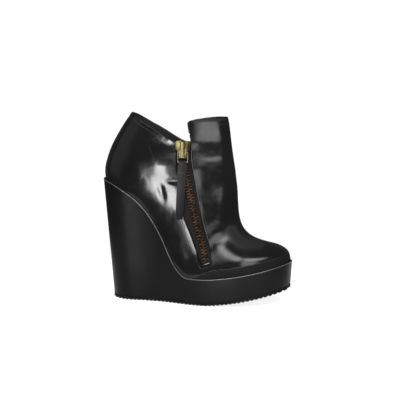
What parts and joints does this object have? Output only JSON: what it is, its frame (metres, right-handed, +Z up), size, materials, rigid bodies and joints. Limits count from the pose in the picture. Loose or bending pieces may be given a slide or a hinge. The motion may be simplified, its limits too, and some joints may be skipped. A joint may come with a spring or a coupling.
{
  "type": "wedge ankle boot",
  "caption": "Right ankle boot on a tall covered wedge and platform, with a side zip, wire pull ring and leather pull strap.",
  "frame": {"origin": "centre of the bounding box's underside, on the floor under the tread", "axes": "+X from heel to toe, +Y towards the inner side of the foot, +Z up from the floor"},
  "size_m": [0.224, 0.0943, 0.218],
  "materials": {
    "outsole": "matt black",
    "wedge": "black, semi-gloss",
    "insole": "black lining leather",
    "upper": "smooth black, glossy",
    "zip_tape": "woven black tape",
    "zip_teeth": "antique copper",
    "zip_stop": "bright",
    "brass": "pale polished brass",
    "pull_strap": "black leather"
  },
  "bodies": {
    "boot": {"outsole": "outsole", "wedge": "wedge", "insole": "insole", "upper": "upper", "zip_tape_rear": "zip_tape", "zip_tape_front": "zip_tape", "zip_teeth_rear": "zip_teeth", "zip_teeth_front": "zip_teeth", "zip_bottom_stop": "zip_stop", "zip_slider": "brass"},
    "pull": {"pull_ring": "brass", "pull_strap": "pull_strap"}
  },
  "joints": [
    {"name": "pull_hinge", "type": "hinge", "parent": "boot", "child": "pull", "pos_m": [-0.01112, -0.02948, 0.17758], "axis": [-0.9919, -0.1268, 0], "range_deg": [0, 140]}
  ]
}
